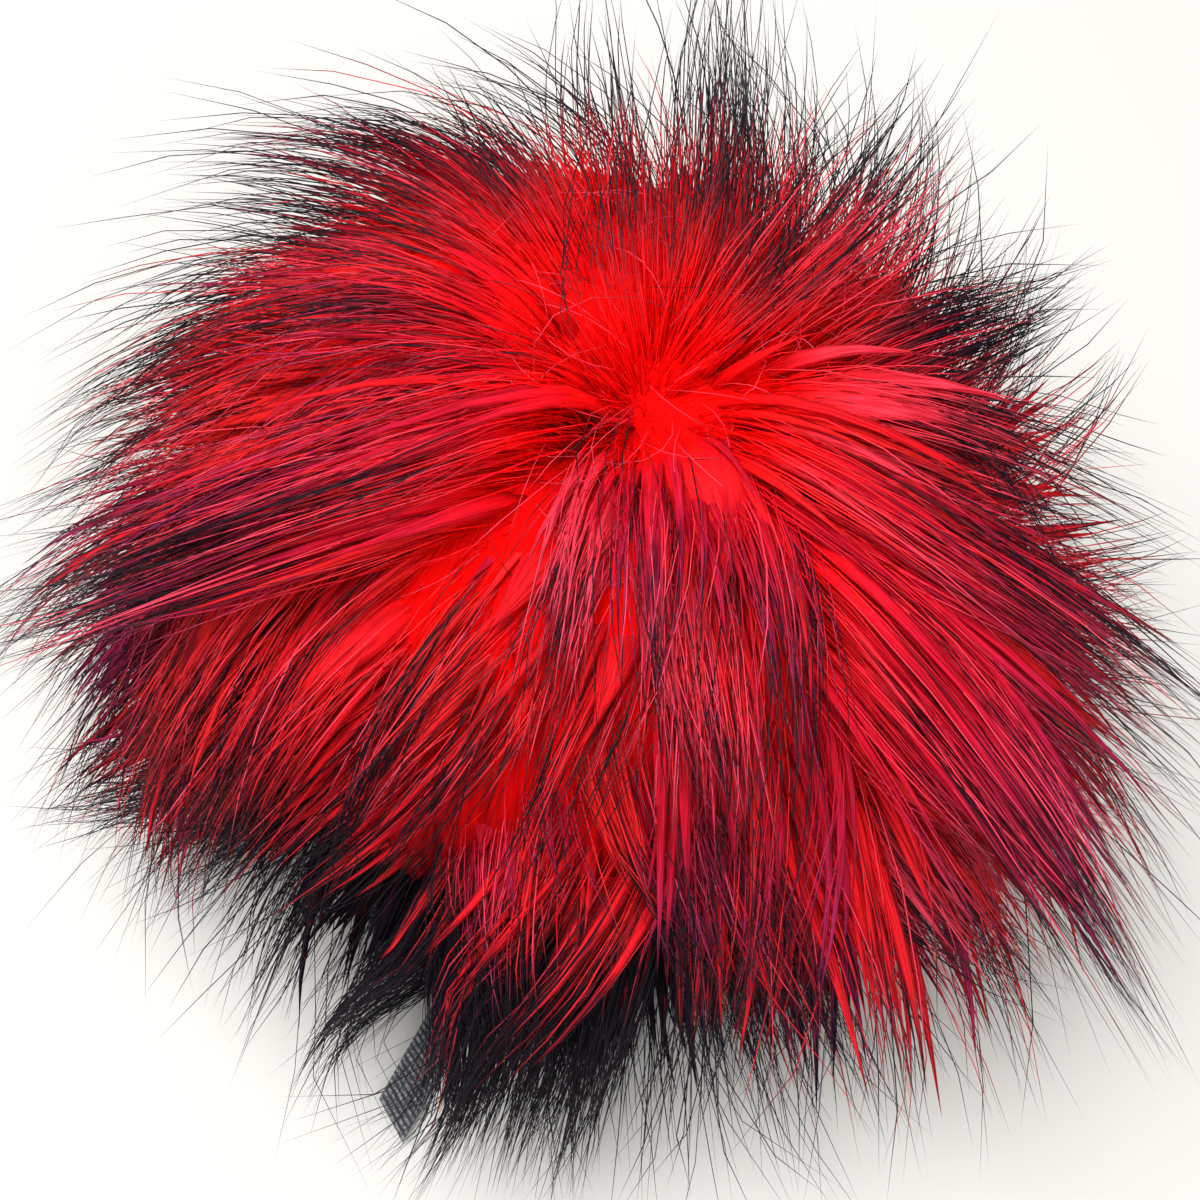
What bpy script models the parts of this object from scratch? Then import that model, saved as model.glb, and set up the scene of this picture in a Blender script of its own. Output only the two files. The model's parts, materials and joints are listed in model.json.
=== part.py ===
"""A long-pile faux-fur pom pom with a ribbon tie.

The real thing is a round of fur fabric drawn up into a ball with its pile outside, and a narrow
ribbon is caught in its gathered base. Here the ball and its pile are one solid: a slightly flattened
ball whose faces are each drawn out into one three-sided lock, fused to the ball at its root. The
locks part at the crown, lie over the ball's shoulders, hang down its sides and spread along the
surface that the pom pom rests on. The ribbon is a second solid, in a shallow groove under the ball.

Metres, +Z up. The origin is the middle of the flat spot that the ball rests on.
"""

import math
import random

import bmesh
import bpy
import numpy as np
from mathutils import Matrix, Vector

NAME = "pom_pom"

# The stuffed ball under the pile.
BALL_RADIUS = 0.040
BALL_HALF_HEIGHT = 0.037
BALL_CENTRE_Z = 0.032  # the ball is pressed flat where it would reach below z = 0
BALL_SUBDIVISIONS = 3  # gives 320 faces, one for each lock and the rest for the flat spot
FACE_JITTER = 0.10  # share of a unit ball's radius over which its points are shuffled

# The outer dome that the tips of the locks lie on.
DOME_RADIUS = 0.093
DOME_HEIGHT = 0.082
PARTING = np.array([0.005, 0.001])  # where the pile parts at the crown, off the ball's axis
FIRST_TIP = math.radians(34)  # polar angle of the tips of the locks that root at the crown
LAST_ROOT = math.radians(150)  # polar angle of the lowest roots, at the edge of the flat spot
TIP_SPREAD = 0.72  # under 1 spends more of the dome on the locks from the shoulders

# One lock.
PATH_POINTS = 21  # points worked out along each lock's middle line
RING_POINTS = (2, 6, 10, 14, 18, 20)  # the ones where the lock has a ring
RING_WIDTHS = (0.86, 0.80, 0.74, 0.56, 0.30, 0.06)  # width there, as a share of the root's
WANTED_ROOM = 0.0060  # locks nearer than this are parted
PARTING_ROUNDS = 20
PUSH_SMOOTHING = 3
CLOSEST = 0.36  # a ring is no wider than this share of the way to its nearest neighbour
RISE_AT_CROWN = 0.60  # how far a lock stands off before it bends, as a share of its length
RISE_AT_BASE = 0.34
LENGTH_VARIES = math.radians(9)  # how far short of its place on the dome a tip may end
SHORTER_BELOW = 0.12  # how much shorter the lowest locks are, which lie on the surface
BACK_LIFT = 0.024  # how much higher the tips at the back stand than the dome
BACK = math.radians(80)  # azimuth that they stand highest at
SWIRL = 0.22  # radians that a lock turns about the vertical on its way out
SWIRL_MORE = 0.30  # radians more or less than that, round the ball
SWIRL_MOST_AT = math.radians(110)
STRAY_TURN = 0.10  # radians over which one lock's own turn varies
LOWEST_LEAVING = -0.1  # how far down a root may point, of 1
SEED = 6

# The ribbon tie: a grosgrain ribbon end, cut on the slant.
RIBBON_WIDTH = 0.0064
RIBBON_THICKNESS = 0.0010
RIBBON_START = Vector((0.0070, -0.0110))
RIBBON_TIP = Vector((-0.0325, -0.0830))
RIBBON_SLANT = 0.0034  # how much longer one selvedge is than the other
GAP = 0.0003
GROOVE_END = 0.62  # the groove runs this share of the way to the ribbon's tip
CLEAR_OF_RIBBON = 0.006  # no lock roots lower than this over the ribbon
CLEAR_BESIDE = 0.001
TOUCHING = 1e-6  # a point this low is on the surface

# Locks that stand out from the rest: where they root, and how they differ.
STANDOUT_COLUMNS = ("azimuth_deg", "polar_deg", "longer", "lift")
STANDOUTS = (
    (95, 30, 1.10, 0.016),
    (80, 55, 1.10, 0.012),
    (52, 40, 1.12, 0.008),
    (30, 62, 1.10, 0.012),
    (190, 60, 1.08, 0.004),
    (150, 50, 1.06, 0.008),
    (215, 95, 1.06, 0.000),
    (330, 85, 1.06, 0.000),
)
STANDOUT_REACH = math.radians(9)


def clear_scene():
    """Remove whatever the file holds."""
    for item in list(bpy.data.objects):
        bpy.data.objects.remove(item, do_unlink=True)


def collection_named(name):
    """A new collection in the scene."""
    made = bpy.data.collections.new(name)
    bpy.context.scene.collection.children.link(made)
    return made


def fur_material():
    """Saturated red pile."""
    material = bpy.data.materials.new("red_pile")
    material.use_nodes = True
    shader = material.node_tree.nodes["Principled BSDF"]
    shader.inputs["Base Color"].default_value = (0.62, 0.01, 0.015, 1)
    shader.inputs["Roughness"].default_value = 0.6
    shader.inputs["Metallic"].default_value = 0
    return material


def ribbon_material():
    """Charcoal grosgrain."""
    material = bpy.data.materials.new("charcoal_grosgrain")
    material.use_nodes = True
    shader = material.node_tree.nodes["Principled BSDF"]
    shader.inputs["Base Color"].default_value = (0.045, 0.047, 0.055, 1)
    shader.inputs["Roughness"].default_value = 0.7
    shader.inputs["Metallic"].default_value = 0
    return material


def ball_points(directions):
    """Points of the pressed ball along unit directions: centre + radius * (x, y, flattened z)."""
    offsets = directions * np.array([BALL_RADIUS, BALL_RADIUS, BALL_HALF_HEIGHT])
    below = offsets[:, 2] < -BALL_CENTRE_Z
    offsets[below] *= (-BALL_CENTRE_Z / offsets[below, 2])[:, None]
    return offsets + np.array([0, 0, BALL_CENTRE_Z])


def make_ball(jitter):
    """The ball as a mesh of near-equal triangles, their corners shuffled a little."""
    ball = bmesh.new()
    bmesh.ops.create_icosphere(ball, subdivisions=BALL_SUBDIVISIONS, radius=1)
    directions = np.array([vertex.co for vertex in ball.verts])
    directions += jitter.uniform(-0.5, 0.5, directions.shape) * FACE_JITTER
    directions /= np.linalg.norm(directions, axis=1)[:, None]
    for vertex, point in zip(ball.verts, ball_points(directions)):
        vertex.co = point
    ball.normal_update()
    return ball


def swirl(azimuth):
    """How far a lock turns about the vertical on its way out, in radians: a mean and one wave."""
    return SWIRL + SWIRL_MORE * math.cos(azimuth - SWIRL_MOST_AT)


def back_lift(azimuth, share):
    """How much higher a tip stands at the back: most behind the shoulder, none at crown or base."""
    behind = (1 + math.cos(azimuth - BACK)) / 2
    return BACK_LIFT * behind**2 * math.sin(math.pi * share) ** 2


def standout(azimuth, polar):
    """(longer, lift) of the lock that roots here."""
    for row in STANDOUTS:
        wanted = dict(zip(STANDOUT_COLUMNS, row))
        turn = math.radians(wanted["azimuth_deg"]) - azimuth
        turn = math.atan2(math.sin(turn), math.cos(turn)) * math.sin(polar)
        if math.hypot(turn, math.radians(wanted["polar_deg"]) - polar) < STANDOUT_REACH:
            return wanted["longer"], wanted["lift"]
    return 1.0, 0.0


def lock_path(root, normal, polar, chance):
    """The middle line of one lock, as a row of points.

    Seen from the side it is a quadratic Bezier curve from the root, by way of a point straight out
    of the ball, to a tip on the outer dome. Seen from above it leads away from the parting, and
    turns by swirl on the way out.
    """
    offset = np.array([root.x, root.y]) - PARTING
    azimuth = math.atan2(offset[1], offset[0])
    longer, lift = standout(azimuth, polar)
    share = min(polar / LAST_ROOT, 1)
    tip_polar = FIRST_TIP + (math.pi / 2 - FIRST_TIP) * share**TIP_SPREAD
    tip_polar = min(tip_polar - LENGTH_VARIES * chance.random() * (1 - share), math.pi / 2)
    reach = longer * (1 - SHORTER_BELOW * share**4)
    start = np.array([math.hypot(*offset), root.z])
    tip = np.array([DOME_RADIUS * math.sin(tip_polar), DOME_HEIGHT * math.cos(tip_polar)])
    tip = start + (tip - start) * reach
    tip[1] += lift + back_lift(azimuth, share)
    length = np.linalg.norm(tip - start)
    leaving = np.array([math.hypot(normal.x, normal.y), max(normal.z, LOWEST_LEAVING)])
    rise = RISE_AT_CROWN + (RISE_AT_BASE - RISE_AT_CROWN) * share
    bend = start + leaving / np.linalg.norm(leaving) * rise * length
    places = np.linspace(0, 1, PATH_POINTS)
    side = (
        np.outer((1 - places) ** 2, start)
        + np.outer(2 * places * (1 - places), bend)
        + np.outer(places**2, tip)
    )
    own_turn = STRAY_TURN * (chance.random() - 0.5)
    turned = azimuth + swirl(azimuth) * places**1.5 + own_turn * places**2
    plan = side[:, :1] * np.column_stack([np.cos(turned), np.sin(turned)])
    return np.column_stack([plan + np.outer(1 - places, PARTING), side[:, 1]])


def nearest_others(paths):
    """For each point of each path, the way to it from the nearest point of any other path."""
    count, points, _ = paths.shape
    spots = paths.reshape(-1, 3).astype(np.float32)
    squares = (spots**2).sum(axis=1)
    apart = squares[:, None] + squares[None] - 2 * spots @ spots.T
    apart = apart.reshape(count, points, count, points)
    apart[np.arange(count), :, np.arange(count), :] = np.inf
    nearest = apart.reshape(count * points, -1).argmin(axis=1)
    return (paths.reshape(-1, 3) - paths.reshape(-1, 3)[nearest]).reshape(paths.shape)


def part_neighbours(paths):
    """Move locks that come too near each other apart, a little at a time and not at their roots."""
    free = np.linspace(0, 1, PATH_POINTS)[None, :, None] ** 0.5
    for _ in range(PARTING_ROUNDS):
        away = nearest_others(paths)
        distance = np.linalg.norm(away, axis=2, keepdims=True) + 1e-9
        push = away / distance * np.maximum(WANTED_ROOM - distance, 0) / 2
        for _ in range(PUSH_SMOOTHING):
            push[:, 1:-1] = (push[:, :-2] + push[:, 1:-1] + push[:, 2:]) / 3
        paths = paths + push * free
    return paths


def ribbon_frame():
    """The ribbon's unit direction, the unit direction across it, and its length."""
    whole = RIBBON_TIP - RIBBON_START
    along = whole.normalized()
    return along, Vector((-along.y, along.x)), whole.length


def over_ribbon(x, y, margin):
    """Whether a place lies on the ribbon or within a margin of it."""
    along, across, length = ribbon_frame()
    offset = Vector((x, y)) - RIBBON_START
    beside = abs(offset.dot(across)) < RIBBON_WIDTH / 2 + margin
    return beside and -margin < offset.dot(along) < length + margin


def draw_out(ball, face, path, room):
    """Draw one face out into a lock along a path, ring by ring."""
    middle = face.calc_center_median()
    spokes = [vertex.co - middle for vertex in face.verts]
    size = sum(spoke.length for spoke in spokes) / 3
    heading = face.normal.copy()
    before = middle
    for at, wide in zip(RING_POINTS, RING_WIDTHS):
        centre = Vector(path[at])
        turn = heading.rotation_difference((centre - before).normalized())
        heading = turn @ heading
        spokes = [turn @ spoke for spoke in spokes]
        scale = min(wide, CLOSEST * room[at - 1 : at + 3].min() / size)
        ring = [centre + spoke * scale for spoke in spokes]
        rest = RIBBON_THICKNESS + GAP if any(over_ribbon(p.x, p.y, GAP) for p in ring) else 0
        rise = max(0, rest - min(point.z for point in ring))
        old = list(face.verts)
        face = bmesh.ops.extrude_discrete_faces(ball, faces=[face])["faces"][0]
        for vertex in face.verts:
            nearest = min(range(3), key=lambda i: (vertex.co - old[i].co).length_squared)
            vertex.co = ring[nearest] + Vector((0, 0, rise))
        before = centre


def make_fur_ball(target):
    """The ball with its pile of locks, with the ribbon's groove cut into its underside."""
    ball = make_ball(np.random.default_rng(SEED))
    chance = random.Random(SEED)
    roots = []
    for face in ball.faces:
        middle = face.calc_center_median()
        polar = math.acos(np.clip((middle.z - BALL_CENTRE_Z) / BALL_HALF_HEIGHT, -1, 1))
        pressed = min(vertex.co.z for vertex in face.verts) < TOUCHING
        in_the_way = middle.z < CLEAR_OF_RIBBON and over_ribbon(middle.x, middle.y, CLEAR_BESIDE)
        if not pressed and not in_the_way:
            roots.append((face, middle, polar))
    paths = np.array([lock_path(middle, face.normal, polar, chance) for face, middle, polar in roots])
    paths = part_neighbours(paths)
    rooms = np.linalg.norm(nearest_others(paths), axis=2)
    for (face, *_), path, room in zip(roots, paths, rooms):
        draw_out(ball, face, path, room)
    mesh = bpy.data.meshes.new("fur_ball")
    ball.to_mesh(mesh)
    ball.free()
    made = bpy.data.objects.new("fur_ball", mesh)
    made.data.materials.append(fur_material())
    target.objects.link(made)
    print(len(roots), "locks")
    return made


def make_groove(fur, target):
    """Cut the shallow groove that the ribbon lies in."""
    along, _, whole = ribbon_frame()
    length = whole * GROOVE_END + GAP
    middle = RIBBON_START + along * (length / 2 - GAP)
    cutter = bmesh.new()
    bmesh.ops.create_cube(cutter, size=1)
    size = Vector((length, RIBBON_WIDTH + 2 * GAP, 2 * (RIBBON_THICKNESS + GAP)))
    turn = Matrix.Rotation(math.atan2(along.y, along.x), 4, "Z")
    place = Matrix.Translation((middle.x, middle.y, 0)) @ turn @ Matrix.Diagonal((*size, 1))
    cutter.transform(place)
    mesh = bpy.data.meshes.new("ribbon_groove")
    cutter.to_mesh(mesh)
    cutter.free()
    made = bpy.data.objects.new("ribbon_groove", mesh)
    made.hide_render = True
    made.display_type = "WIRE"
    target.objects.link(made)
    cut = fur.modifiers.new("groove", "BOOLEAN")
    cut.operation = "DIFFERENCE"
    cut.object = made


def make_ribbon(target):
    """The ribbon end: a flat strip with one end cut on the slant, lying on the surface."""
    along, across, _ = ribbon_frame()
    half = across * RIBBON_WIDTH / 2
    short = RIBBON_TIP - along * RIBBON_SLANT
    corners = (RIBBON_START + half, RIBBON_START - half, short - half, RIBBON_TIP + half)
    outline = bpy.data.curves.new("ribbon_tie", "CURVE")
    outline.dimensions = "2D"
    outline.fill_mode = "BOTH"
    outline.extrude = RIBBON_THICKNESS / 2
    spline = outline.splines.new("POLY")
    spline.points.add(len(corners) - 1)
    for point, corner in zip(spline.points, corners):
        point.co = (*corner, 0, 1)
    spline.use_cyclic_u = True
    made = bpy.data.objects.new("ribbon_tie", outline)
    made.location.z = RIBBON_THICKNESS / 2
    made.data.materials.append(ribbon_material())
    target.objects.link(made)


def main():
    """Build both pieces and the cutter."""
    clear_scene()
    parts = collection_named(NAME)
    cutters = collection_named("cutters")
    fur = make_fur_ball(parts)
    make_groove(fur, cutters)
    make_ribbon(parts)


main()
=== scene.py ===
import json
import math

import bpy
import numpy as np
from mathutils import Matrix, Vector

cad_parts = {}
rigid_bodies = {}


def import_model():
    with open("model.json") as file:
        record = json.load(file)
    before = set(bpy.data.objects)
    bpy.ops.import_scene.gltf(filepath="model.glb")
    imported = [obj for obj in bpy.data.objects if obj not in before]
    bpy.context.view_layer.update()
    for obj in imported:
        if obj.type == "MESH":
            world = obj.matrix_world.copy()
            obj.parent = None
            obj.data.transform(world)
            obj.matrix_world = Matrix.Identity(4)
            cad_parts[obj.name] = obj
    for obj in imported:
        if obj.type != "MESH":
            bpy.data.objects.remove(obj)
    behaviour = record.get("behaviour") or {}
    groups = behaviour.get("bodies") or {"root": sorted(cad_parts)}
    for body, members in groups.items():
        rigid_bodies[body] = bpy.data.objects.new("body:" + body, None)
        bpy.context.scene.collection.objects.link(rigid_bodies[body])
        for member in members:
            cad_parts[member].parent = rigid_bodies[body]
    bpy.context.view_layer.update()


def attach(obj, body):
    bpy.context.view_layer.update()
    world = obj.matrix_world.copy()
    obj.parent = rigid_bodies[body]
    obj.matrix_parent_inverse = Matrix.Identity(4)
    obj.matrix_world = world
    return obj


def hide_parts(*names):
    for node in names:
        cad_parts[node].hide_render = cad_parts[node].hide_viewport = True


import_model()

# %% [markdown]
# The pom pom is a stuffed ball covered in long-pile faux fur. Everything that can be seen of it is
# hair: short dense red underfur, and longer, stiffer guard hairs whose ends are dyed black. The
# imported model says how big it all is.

scene = bpy.context.scene


# %% [markdown]
# The pom pom is looked at from above and a little in front. A camera needs a place, a direction and
# an angle of view. Aiming it along a named elevation keeps those three easy to change.

# %% Camera
ELEVATION = math.radians(70.5)
ANGLE_OF_VIEW = math.radians(47)
DISTANCE = 0.203
LOOKED_AT = Vector((-0.0005, -0.0093, 0.030))


def make_camera():
    """A camera at LOOKED_AT minus DISTANCE times the looking direction (0, cos, -sin) of ELEVATION."""
    looking = Vector((0, math.cos(ELEVATION), -math.sin(ELEVATION)))
    data = bpy.data.cameras.new("camera")
    data.lens_unit = "FOV"
    data.angle = ANGLE_OF_VIEW
    data.clip_start = 0.005
    camera = bpy.data.objects.new("camera", data)
    camera.location = LOOKED_AT - looking * DISTANCE
    camera.rotation_euler = looking.to_track_quat("-Z", "Y").to_euler()
    scene.collection.objects.link(camera)
    return camera


scene.camera = make_camera()
print("camera at", [round(value, 3) for value in scene.camera.location])


# %% [markdown]
# The pile lies over the ball as water falls from a fountain: up out of the backing, over the
# shoulder, and down to the surface. There are far too many hairs to shape by hand. One formula for
# the middle line of a hair is worked out for all hairs at once, and every piece of the pile shares it.

# %% The ball under the pile, and how the pile falls
BALL_RADIUS = 0.040
BALL_HALF_HEIGHT = 0.037
BALL_CENTRE_Z = 0.032
DOME_RADIUS = 0.093
DOME_HEIGHT = 0.082
PARTING = np.array([0.005, 0.001])
FIRST_TIP = math.radians(34)
LAST_ROOT = math.radians(150)
TIP_SPREAD = 0.72
RISE_AT_CROWN = 0.60
RISE_AT_BASE = 0.34
SHORTER_BELOW = 0.12
BACK_LIFT = 0.024
BACK = math.radians(80)
LOWEST_LEAVING = -0.1
SWIRL = 0.22
SWIRL_MORE = 0.30
SWIRL_MOST_AT = math.radians(110)
LOWEST = 0.0012  # nothing dense lies nearer the surface than this


def ball_point(azimuth, polar):
    """Points of the pressed ball: radius * sin(polar) round the axis, half-height * cos(polar) up it."""
    x = BALL_RADIUS * np.sin(polar) * np.cos(azimuth)
    y = BALL_RADIUS * np.sin(polar) * np.sin(azimuth)
    z = np.maximum(BALL_CENTRE_Z + BALL_HALF_HEIGHT * np.cos(polar), LOWEST)
    return np.stack([x, y, z], axis=-1)


def swirl(azimuth):
    """How far a hair turns about the vertical on its way out: a mean plus one cosine wave."""
    return SWIRL + SWIRL_MORE * np.cos(azimuth - SWIRL_MOST_AT)


def drape(azimuth, polar, along, longer=1.0, lift=0.0, turn=0.0, inward=0.0):
    """Middle lines of hairs, (hair, place along it, xyz).

    From the side each is a quadratic Bezier curve: root, a point straight out of the ball, tip on
    the dome. From above it leads away from the parting and turns by swirl * along^1.5 as it goes.
    """
    longer, lift, turn, inward = (
        np.broadcast_to(np.asarray(value, float), azimuth.shape)[:, None]
        for value in (longer, lift, turn, inward)
    )
    root = ball_point(azimuth, polar)
    offset = root[:, :2] - PARTING
    heading = np.arctan2(offset[:, 1], offset[:, 0])[:, None]
    share = np.minimum(polar / LAST_ROOT, 1)[:, None]
    tip_polar = FIRST_TIP + (math.pi / 2 - FIRST_TIP) * share**TIP_SPREAD - inward
    out_start = np.hypot(offset[:, 0], offset[:, 1])[:, None]
    up_start = root[:, 2:]
    reach = longer * (1 - SHORTER_BELOW * share**4)
    out_tip = out_start + (DOME_RADIUS * np.sin(tip_polar) - out_start) * reach
    at_back = (1 + np.cos(heading - BACK)) / 2
    back_lift = BACK_LIFT * at_back**2 * np.sin(math.pi * share) ** 2
    up_tip = up_start + (DOME_HEIGHT * np.cos(tip_polar) - up_start) * reach + lift + back_lift
    length = np.hypot(out_tip - out_start, up_tip - up_start)
    leaving_out = (BALL_HALF_HEIGHT / BALL_RADIUS * np.sin(polar))[:, None]
    leaving_up = np.maximum(np.cos(polar)[:, None], LOWEST_LEAVING)
    rise = (RISE_AT_CROWN + (RISE_AT_BASE - RISE_AT_CROWN) * share) * length
    rise = rise / np.hypot(leaving_out, leaving_up)
    t = along
    out = (1 - t) ** 2 * out_start + 2 * t * (1 - t) * (out_start + leaving_out * rise) + t**2 * out_tip
    up = (1 - t) ** 2 * up_start + 2 * t * (1 - t) * (up_start + leaving_up * rise) + t**2 * up_tip
    turned = heading + (swirl(heading) + turn) * t**1.5
    x = out * np.cos(turned) + (1 - t) * PARTING[0]
    y = out * np.sin(turned) + (1 - t) * PARTING[1]
    return np.stack([x, y, up], axis=-1)


# %% [markdown]
# Faux fur never lies evenly. Hairs cling into wisps, and wisps lie together in locks that part from
# each other. So there are three levels: locks, wisps in locks, and hairs in wisps. Most locks are
# spread by chance, but the ones that give this pom pom its face are listed, a row each: where the
# lock is rooted, how it lies, how tightly it clings, how black it is and which red it has.

# %% Locks
SEED = 11
LOCKS = 150
WISPS = 1150
WISPS_OF_FEATURED = 5
CLEAR_OF_FEATURED = math.cos(math.radians(9))
BULGE = 0.15
BULGE_AT = math.radians(322)
BULGE_HALF_WIDTH = math.radians(30)
LOWEST_ROOT = math.radians(150)
LOCK_SHUFFLE = 0.06  # how far a lock lies from its even place, on a ball of radius 1
TINT_SHARES = (0.46, 0.32, 0.14, 0.08)  # chances of the four reds, where they aren't listed
COLUMNS = ("azimuth", "polar", "longer", "lift", "turn", "inward", "cling", "dark", "tint", "guards", "width")
FEATURED = {
    "fan_left": (58, 16, 0.98, 0.001, -0.38, 0.10, 0.60, 0.30, 0, 0.25, 0.0110),
    "fan_middle": (52, 22, 0.98, 0.004, -0.40, 0.15, 0.40, 0.05, 0, 0.12, 0.0127),
    "fan_right": (44, 27, 0.97, 0.002, -0.34, 0.18, 0.40, 0.10, 0, 0.15, 0.0110),
    "dark_top": (38, 16, 0.98, 0.010, -0.03, 0.07, 0.90, 1.50, 2, 2.2, 0.0039),
    "pink_top": (46, 27, 0.98, 0.002, -0.20, 0.07, 0.75, 0.30, 3, 0.6, 0.0052),
    "black_top": (62, 60, 0.98, 0.008, -0.35, 0.02, 0.75, 1.20, 2, 0.8, 0.0030),
    "black_back": (80, 34, 0.98, 0.008, -0.54, 0.05, 0.80, 1.50, 2, 0.6, 0.0025),
    "right_fan_low": (20, 17, 1.00, 0.014, 0.00, 0.02, 0.60, 0.45, 3, 0.8, 0.0046),
    "right_fan_middle": (26, 24, 0.98, 0.012, -0.05, 0.06, 0.55, 0.35, 3, 0.8, 0.0052),
    "right_fan_high": (34, 40, 1.00, 0.010, -0.20, 0.10, 0.55, 0.40, 3, 0.8, 0.0046),
    "black_right": (359, 30, 0.97, 0.007, 0.33, 0.07, 0.96, 1.20, 2, 2.4, 0.0039),
    "pink_right": (356, 22, 0.99, 0.008, 0.00, -0.07, 0.75, 0.65, 3, 1.2, 0.0046),
    "streak_right": (347, 28, 0.97, 0.006, -0.17, 0.13, 0.88, 1.60, 2, 2.0, 0.0039),
    "low_right_1": (342, 20, 0.99, 0.010, 0.12, -0.09, 0.60, 0.90, 2, 1.0, 0.0059),
    "low_right_2": (337, 30, 1.08, 0.006, 0.17, -0.08, 0.65, 1.30, 2, 1.2, 0.0059),
    "low_right_3": (331, 38, 1.01, 0.003, 0.18, -0.10, 0.60, 0.40, 1, 0.8, 0.0090),
    "low_right_4": (323, 34, 1.10, 0.010, 0.09, -0.10, 0.78, 1.40, 2, 1.3, 0.0059),
    "bottom_dark": (329, 24, 0.97, 0.009, -0.36, 0.24, 0.94, 1.90, 2, 1.0, 0.0026),
    "bottom_right_red": (306, 30, 0.98, 0.001, -0.03, 0.31, 0.60, 0.20, 0, 0.8, 0.0105),
    "middle_dark": (318, 12, 0.93, 0.010, -0.02, 0.30, 0.94, 1.50, 2, 0.6, 0.0024),
    "bottom_left_red": (290, 14, 0.98, 0.002, 0.06, 0.32, 0.78, 0.30, 3, 1.0, 0.0083),
    "low_left_purple": (225, 9, 1.04, 0.012, -0.35, -0.10, 0.75, 0.30, 2, 1.3, 0.0052),
    "low_left_dark": (229, 18, 1.08, 0.009, -0.46, -0.09, 0.75, 0.32, 2, 1.4, 0.0040),
    "low_left_red": (200, 38, 0.98, 0.002, 0.09, 0.05, 0.65, 0.25, 1, 0.7, 0.0120),
    "low_left_red_2": (226, 36, 0.98, 0.001, 0.00, 0.08, 0.65, 0.35, 0, 0.9, 0.0090),
    "left_swirl": (153, 10, 0.98, 0.003, 0.10, 0.06, 0.80, 0.45, 2, 1.1, 0.0034),
    "left_swirl_2": (132, 12, 0.98, 0.010, -0.08, 0.11, 0.80, 0.50, 2, 1.1, 0.0034),
    "upper_left_1": (99, 30, 0.98, 0.000, -0.19, -0.02, 0.70, 0.60, 2, 1.0, 0.0052),
    "upper_left_2": (110, 55, 0.98, 0.006, 0.02, 0.02, 0.70, 0.45, 2, 0.8, 0.0059),
    "upper_left_3": (118, 14, 0.99, 0.014, -0.22, -0.10, 0.75, 0.70, 2, 0.9, 0.0052),
    "upper_left_4": (90, 22, 0.98, 0.005, -0.44, 0.09, 0.78, 0.75, 2, 1.1, 0.0046),
    "crown_right": (330, 16, 0.95, 0.000, -0.30, 0.30, 0.50, 0.05, 0, 0.4, 0.0120),
    "crown_low": (300, 24, 0.95, 0.000, 0.10, 0.26, 0.50, 0.05, 3, 0.7, 0.0120),
    "crown_top": (70, 18, 0.90, 0.000, -0.30, 0.25, 0.50, 0.05, 0, 0.10, 0.0120),
}
BLACK_IN_FRONT = (
    (244, 104, 0.95), (250, 116, 0.95), (256, 98, 0.95), (262, 118, 0.95), (267, 100, 0.95),
    (273, 114, 0.95), (279, 102, 0.95), (261, 84, 0.97), (272, 86, 0.97), (250, 88, 0.97),
)
BLACK_ALIKE = (0.000, 0.00, 0.00, 0.60, 2.00, 2, 1.3, 0.0070)
for number, own_place in enumerate(BLACK_IN_FRONT, 1):
    FEATURED[f"bottom_black_{number}"] = (*own_place, *BLACK_ALIKE)
chance = np.random.default_rng(SEED)


def spread_directions(count, shuffle):
    """Directions by the golden angle: equal steps in height, 137.5 degrees apart round the axis."""
    index = np.arange(count) + 0.5
    up = 1 - index / count * (1 - math.cos(LOWEST_ROOT))
    round_axis = index * math.pi * (3 - math.sqrt(5))
    across = np.sqrt(1 - up**2)
    directions = np.stack([across * np.cos(round_axis), across * np.sin(round_axis), up], axis=1)
    directions += chance.normal(0, shuffle, directions.shape)
    return directions / np.linalg.norm(directions, axis=1)[:, None]


def towards(azimuth, polar):
    """Unit directions: (sin polar cos azimuth, sin polar sin azimuth, cos polar)."""
    across = np.sin(polar)
    return np.stack([across * np.cos(azimuth), across * np.sin(azimuth), np.cos(polar)], axis=-1)


def angles(directions):
    """(azimuth, polar) of unit directions."""
    polar = np.arccos(np.clip(directions[:, 2], -1, 1))
    return np.arctan2(directions[:, 1], directions[:, 0]), np.minimum(polar, LOWEST_ROOT)


def angle_from(azimuth, middle):
    """How far round from middle, between half a turn back and half a turn on."""
    return (azimuth - middle + math.pi) % (2 * math.pi) - math.pi


def chance_locks(directions):
    """Rows of the same columns by chance; locks rooted high stand more and end nearer the crown."""
    azimuth, polar = angles(directions)
    count = len(directions)
    high = 1 - polar / LAST_ROOT
    return {
        "azimuth": azimuth,
        "polar": polar,
        "longer": chance.uniform(0.82, 1.06, count),
        "lift": chance.uniform(-0.003, 0.007, count) * np.cos(np.minimum(polar, math.pi / 2)),
        "turn": chance.normal(0, 0.16, count),
        "inward": chance.uniform(-0.05, 0.36, count) * high,
        "cling": chance.uniform(0.50, 0.92, count),
        "dark": chance.beta(0.9, 1.3, count),
        "tint": chance.choice(len(TINT_SHARES), count, p=TINT_SHARES).astype(float),
        "guards": chance.uniform(0.3, 1.4, count),
        "width": chance.uniform(0.0045, 0.0085, count),
    }


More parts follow.
